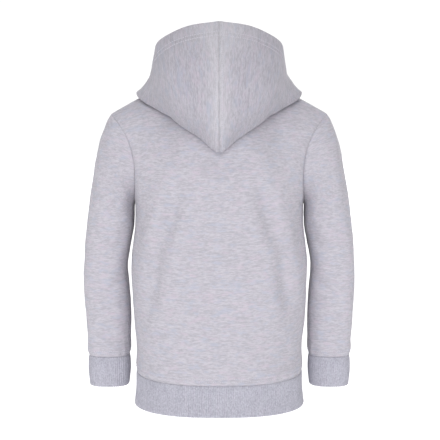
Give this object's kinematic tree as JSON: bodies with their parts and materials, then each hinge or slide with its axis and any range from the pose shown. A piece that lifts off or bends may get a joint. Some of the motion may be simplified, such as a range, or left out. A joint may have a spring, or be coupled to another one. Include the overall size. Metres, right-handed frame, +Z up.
{
  "type": "toddler hoodie, filled out as worn",
  "caption": "Child's pullover sweatshirt with long set-in sleeves, ribbed cuffs and hem band, and a two-piece hood lying down on the back.",
  "frame": {"origin": "midway between the two points where the shoulder seams meet the neck, where the wearer's neck and shoulders hold the garment", "axes": "+X to the wearer's left, +Y to the wearer's back, the side that the hood lies on, +Z up the body"},
  "size_m": [0.3816, 0.2475, 0.5194],
  "materials": {
    "fleece": "brushed sweatshirt fleece, pale lilac-grey marl",
    "hood_fleece": "brushed sweatshirt fleece, pale lilac-grey marl",
    "rib": "ribbed knit, pale lilac-grey marl"
  },
  "bodies": {
    "root": {"back_panel": "fleece", "front_panel": "fleece", "sleeve_left": "fleece", "sleeve_right": "fleece", "cuff_left": "rib", "cuff_right": "rib", "hem_band": "rib", "hood_left": "hood_fleece", "hood_right": "hood_fleece"}
  },
  "joints": []
}
